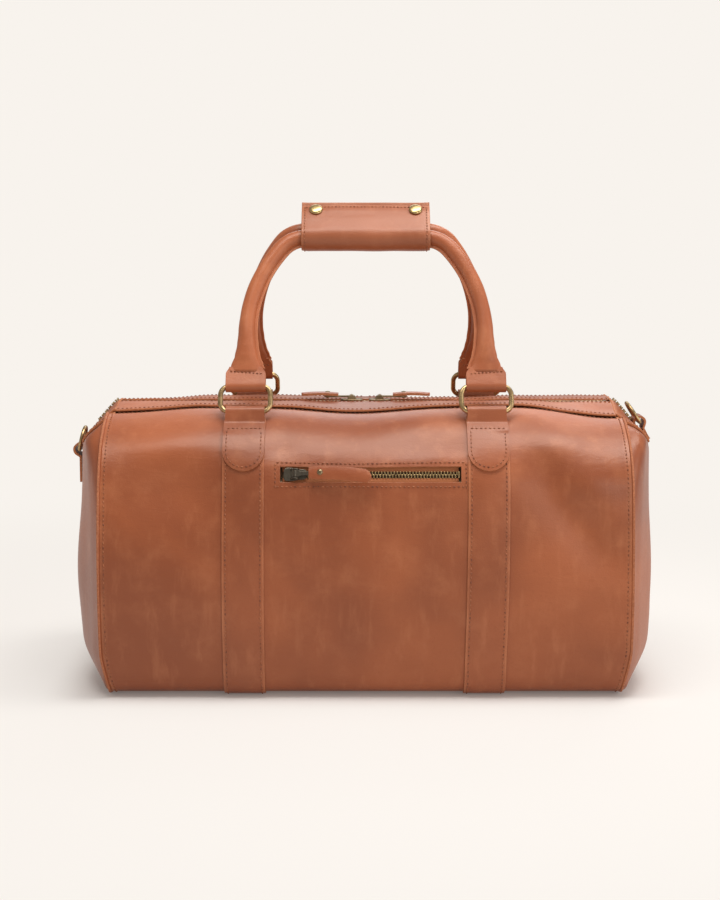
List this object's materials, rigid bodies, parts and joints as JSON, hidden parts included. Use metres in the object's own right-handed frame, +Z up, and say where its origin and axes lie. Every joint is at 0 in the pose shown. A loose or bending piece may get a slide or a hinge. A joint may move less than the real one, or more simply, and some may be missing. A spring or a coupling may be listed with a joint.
{
  "type": "weekender bag",
  "caption": "Leather weekender bag with arched handles on oval rings, a grip wrap with snaps, a two-way main zip, a zipped front pocket and a D-ring at each end.",
  "frame": {"origin": "on the floor, under the middle of the bag", "axes": "+Z up, -Y front with the pocket, +X to the right seen from the front"},
  "size_m": [0.5274, 0.252, 0.4291],
  "materials": {
    "body_leather": "pull-up full-grain leather, tan, soft semi-gloss",
    "strap_leather": "tan strap leather with raw light edges",
    "handle_leather": "tan leather, rolled and stitched",
    "pull_leather": "tan leather tab, rounded and riveted",
    "lining": "plain woven cotton lining, olive brown",
    "board": "stiff fibre board",
    "rope": "twisted cotton cord",
    "zip_tape": "woven zip tape, tan brown",
    "zip_teeth": "antique brass",
    "zip_slider": "antique brass, darkened",
    "gunmetal": "gunmetal plated die casting",
    "brass": "antique brass, burnished on the high points"
  },
  "bodies": {
    "bag": {"front_panel": "body_leather", "rear_panel": "body_leather", "base_panel": "body_leather", "left_gusset": "body_leather", "right_gusset": "body_leather", "left_facing": "strap_leather", "right_facing": "strap_leather", "lining": "lining", "base_board": "board", "pocket_bag": "lining", "strap_left": "strap_leather", "chape_front_left": "strap_leather", "chape_rear_left": "strap_leather", "strap_right": "strap_leather", "chape_front_right": "strap_leather", "chape_rear_right": "strap_leather", "main_zip_stops": "zip_teeth", "pocket_zip_tape_front": "zip_tape", "pocket_zip_teeth_front": "zip_teeth", "pocket_zip_tape_rear": "zip_tape", "pocket_zip_teeth_rear": "zip_teeth", "side_tab_left": "strap_leather", "side_tab_right": "strap_leather"},
    "mouth_front": {"top_strip_front": "body_leather", "main_zip_tape_front": "zip_tape", "main_zip_teeth_front": "zip_teeth"},
    "mouth_rear": {"top_strip_rear": "body_leather", "main_zip_tape_rear": "zip_tape", "main_zip_teeth_rear": "zip_teeth"},
    "slider_left": {"main_slider_left": "zip_slider"},
    "slider_right": {"main_slider_right": "zip_slider"},
    "pull_left": {"main_left_puller": "zip_slider", "main_left_pull": "pull_leather", "main_left_rivet": "brass"},
    "pull_right": {"main_right_puller": "zip_slider", "main_right_pull": "pull_leather", "main_right_rivet": "brass"},
    "slider_pocket": {"pocket_slider": "gunmetal"},
    "pull_pocket": {"pocket_puller": "gunmetal", "pocket_pull": "pull_leather", "pocket_rivet": "brass"},
    "rings_front": {"ring_front_left": "brass", "ring_front_right": "brass"},
    "rings_rear": {"ring_rear_left": "brass", "ring_rear_right": "brass"},
    "handle_front": {"handle_front_cover": "handle_leather", "handle_front_core": "rope"},
    "handle_rear": {"handle_rear_cover": "handle_leather", "handle_rear_core": "rope", "grip_wrap": "handle_leather", "snap_studs": "brass"},
    "flap": {"grip_flap": "handle_leather", "snap_caps": "brass"},
    "dee_left": {"side_dee_left": "brass"},
    "dee_right": {"side_dee_right": "brass"}
  },
  "joints": [
    {"name": "mouth_front_open", "type": "hinge", "parent": "bag", "child": "mouth_front", "pos_m": [0, -0.0418, 0.249], "axis": [1, 0, 0], "range_deg": [0, 70], "deforming": ["main_zip_tape_front", "main_zip_teeth_front"]},
    {"name": "mouth_rear_open", "type": "hinge", "parent": "bag", "child": "mouth_rear", "pos_m": [0, 0.0418, 0.249], "axis": [-1, 0, 0], "range_deg": [0, 70], "deforming": ["main_zip_tape_rear", "main_zip_teeth_rear"]},
    {"name": "main_zip_left", "type": "slide", "parent": "bag", "child": "slider_left", "axis": [-1, 0, 0], "range_m": [0, 0.19]},
    {"name": "main_zip_right", "type": "slide", "parent": "bag", "child": "slider_right", "axis": [1, 0, 0], "range_m": [0, 0.19]},
    {"name": "main_pull_left", "type": "hinge", "parent": "slider_left", "child": "pull_left", "pos_m": [-0.013, 0, 0.2532], "axis": [0, 1, 0], "range_deg": [0, 150]},
    {"name": "main_pull_right", "type": "hinge", "parent": "slider_right", "child": "pull_right", "pos_m": [0.013, 0, 0.2532], "axis": [0, -1, 0], "range_deg": [0, 150]},
    {"name": "pocket_zip", "type": "slide", "parent": "bag", "child": "slider_pocket", "axis": [1, 0, 0], "range_m": [0, 0.13]},
    {"name": "pocket_pull_lift", "type": "hinge", "parent": "slider_pocket", "child": "pull_pocket", "pos_m": [-0.061, -0.113, 0.19804], "axis": [0, -0.3649, -0.9311], "range_deg": [0, 156]},
    {"name": "front_rings_swing", "type": "hinge", "parent": "bag", "child": "rings_front", "pos_m": [0, -0.07299, 0.24702], "axis": [1, 0, 0], "range_deg": [0, 120]},
    {"name": "front_handle_fold", "type": "hinge", "parent": "rings_front", "child": "handle_front", "pos_m": [0, -0.06306, 0.26832], "axis": [1, 0, 0], "range_deg": [0, 48]},
    {"name": "rear_rings_swing", "type": "hinge", "parent": "bag", "child": "rings_rear", "pos_m": [0, 0.07299, 0.24702], "axis": [-1, 0, 0], "range_deg": [0, 120]},
    {"name": "rear_handle_fold", "type": "hinge", "parent": "rings_rear", "child": "handle_rear", "pos_m": [0, 0.06306, 0.26832], "axis": [-1, 0, 0], "range_deg": [0, 48]},
    {"name": "wrap_flap_open", "type": "hinge", "parent": "handle_rear", "child": "flap", "pos_m": [0, 0.0021, 0.38972], "axis": [1, 0, 0], "range_deg": [0, 144], "deforming": ["grip_flap", "snap_caps"]},
    {"name": "left_dee_swing", "type": "hinge", "parent": "bag", "child": "dee_left", "pos_m": [-0.2622, 0, 0.205], "axis": [0, -1, 0], "range_deg": [0, 165]},
    {"name": "right_dee_swing", "type": "hinge", "parent": "bag", "child": "dee_right", "pos_m": [0.25071, 0, 0.23019], "axis": [0, 1, 0], "range_deg": [0, 150]}
  ],
  "couplings": [
    {"joint": "mouth_rear_open", "follows": "mouth_front_open", "ratio": 1},
    {"joint": "main_zip_left", "follows": "mouth_front_open", "m_per_rad": 0.155},
    {"joint": "main_zip_right", "follows": "mouth_front_open", "m_per_rad": 0.155},
    {"joint": "front_handle_fold", "follows": "front_rings_swing", "ratio": 0.4},
    {"joint": "rear_rings_swing", "follows": "front_rings_swing", "ratio": 1},
    {"joint": "rear_handle_fold", "follows": "front_rings_swing", "ratio": 0.4},
    {"joint": "wrap_flap_open", "follows": "front_rings_swing", "ratio": 1.2}
  ]
}
